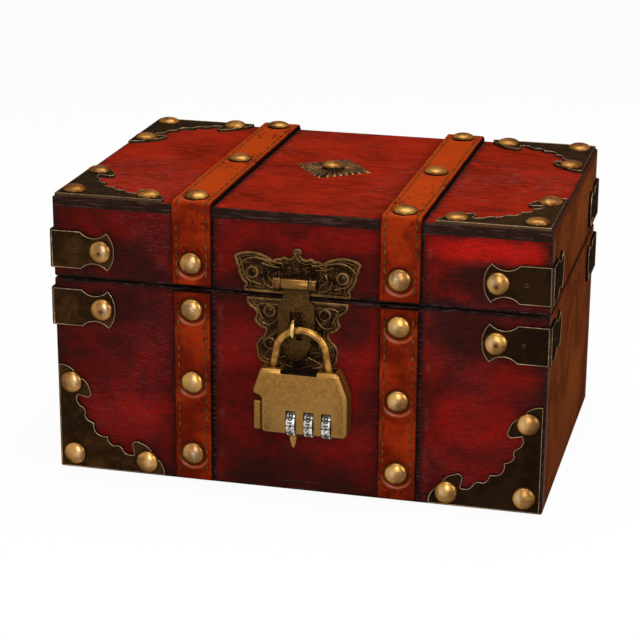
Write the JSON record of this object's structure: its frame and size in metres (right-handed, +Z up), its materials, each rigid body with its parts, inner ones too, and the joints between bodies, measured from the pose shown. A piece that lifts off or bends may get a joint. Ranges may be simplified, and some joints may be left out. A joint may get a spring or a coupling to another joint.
{
  "type": "treasure chest box",
  "caption": "Wooden treasure chest box with a back-hinged lid, leather straps, dome nails, metal corners and a butterfly latch closed by a dial padlock.",
  "frame": {"origin": "centre of the base's underside, midway across the boards' width and depth", "axes": "+X to the right as seen from the front, +Y from the latch to the hinges, +Z up"},
  "size_m": [0.2224, 0.1692, 0.1329],
  "materials": {
    "stained_wood": "red-stained wood with dark rubbed edges, satin",
    "strap_leather": "orange-red leather, stitched and scuffed, dark edges",
    "nail_brass": "antique brass with dark wear",
    "antique_bronze": "dark antique bronze with light rubbed edges",
    "lock_brass": "brushed antique brass",
    "dial_metal": "pale metal with black figures",
    "dark_steel": "darkened steel"
  },
  "bodies": {
    "box": {"base_back_board": "stained_wood", "base_bracket_back_left": "antique_bronze", "base_bracket_back_right": "antique_bronze", "base_bracket_front_left": "antique_bronze", "base_bracket_front_right": "antique_bronze", "base_corner_back_left": "antique_bronze", "base_corner_back_right": "antique_bronze", "base_corner_front_left": "antique_bronze", "base_corner_front_right": "antique_bronze", "base_floor": "stained_wood", "base_front_board": "stained_wood", "base_left_board": "stained_wood", "base_nails": "nail_brass", "base_right_board": "stained_wood", "base_screws": "dark_steel", "base_strap_back_left": "strap_leather", "base_strap_back_right": "strap_leather", "base_strap_front_left": "strap_leather", "base_strap_front_right": "strap_leather", "hinge_lower_leaf_left": "antique_bronze", "hinge_lower_leaf_right": "antique_bronze", "hinge_pins": "dark_steel", "latch_lower_plate": "antique_bronze", "latch_staple": "antique_bronze"},
    "lid": {"lid_back_board": "stained_wood", "lid_bracket_back_left": "antique_bronze", "lid_bracket_back_right": "antique_bronze", "lid_bracket_front_left": "antique_bronze", "lid_bracket_front_right": "antique_bronze", "lid_corner_back_left": "antique_bronze", "lid_corner_back_right": "antique_bronze", "lid_corner_front_left": "antique_bronze", "lid_corner_front_right": "antique_bronze", "lid_front_board": "stained_wood", "lid_left_board": "stained_wood", "lid_nails": "nail_brass", "lid_ornament": "antique_bronze", "lid_right_board": "stained_wood", "lid_screws": "dark_steel", "lid_strap_left": "strap_leather", "lid_strap_right": "strap_leather", "lid_top_board": "stained_wood", "latch_upper_plate": "antique_bronze", "latch_pin": "dark_steel", "hinge_upper_leaf_left": "antique_bronze", "hinge_upper_leaf_right": "antique_bronze"},
    "hasp": {"hasp": "antique_bronze"},
    "shackle": {"shackle": "lock_brass"},
    "lock_body": {"lock_front_shell": "lock_brass", "lock_back_shell": "lock_brass", "shackle_pivot": "dark_steel", "dial_spindle": "dark_steel", "lock_insert": "dark_steel", "index_point": "lock_brass"},
    "dial_1": {"dial_1": "dial_metal"},
    "dial_2": {"dial_2": "dial_metal"},
    "dial_3": {"dial_3": "dial_metal"},
    "release_lever": {"release_lever": "lock_brass"}
  },
  "joints": [
    {"name": "lid_hinge", "type": "hinge", "parent": "box", "child": "lid", "pos_m": [0, 0.0783, 0.09025], "axis": [-1, 0, 0], "range_deg": [0, 105]},
    {"name": "hasp_hinge", "type": "hinge", "parent": "lid", "child": "hasp", "pos_m": [0.001, -0.0791, 0.097], "axis": [-1, 0, 0], "range_deg": [0, 168]},
    {"name": "padlock_swing", "type": "hinge", "parent": "box", "child": "shackle", "pos_m": [0.0012, -0.0818, 0.0769], "axis": [-1, 0, 0], "range_deg": [0, 70]},
    {"name": "padlock_opening", "type": "hinge", "parent": "shackle", "child": "lock_body", "pos_m": [0.017, -0.0818, 0.05672], "axis": [0, -1, 0], "range_deg": [0, 20]},
    {"name": "dial_1_turn", "type": "hinge", "parent": "lock_body", "child": "dial_1", "pos_m": [0.001, -0.0821, 0.03533], "axis": [1, 0, 0], "continuous": true},
    {"name": "dial_2_turn", "type": "hinge", "parent": "lock_body", "child": "dial_2", "pos_m": [0.0089, -0.0821, 0.03533], "axis": [1, 0, 0], "continuous": true},
    {"name": "dial_3_turn", "type": "hinge", "parent": "lock_body", "child": "dial_3", "pos_m": [0.0168, -0.0821, 0.03533], "axis": [1, 0, 0], "continuous": true},
    {"name": "release_slide", "type": "slide", "parent": "lock_body", "child": "release_lever", "axis": [0, 0, -1], "range_m": [0, 0.0025], "stiffness_N_per_m": 200, "springref_m": -0.002}
  ],
  "couplings": [
    {"joint": "hasp_hinge", "follows": "lid_hinge", "ratio": 1.6}
  ]
}
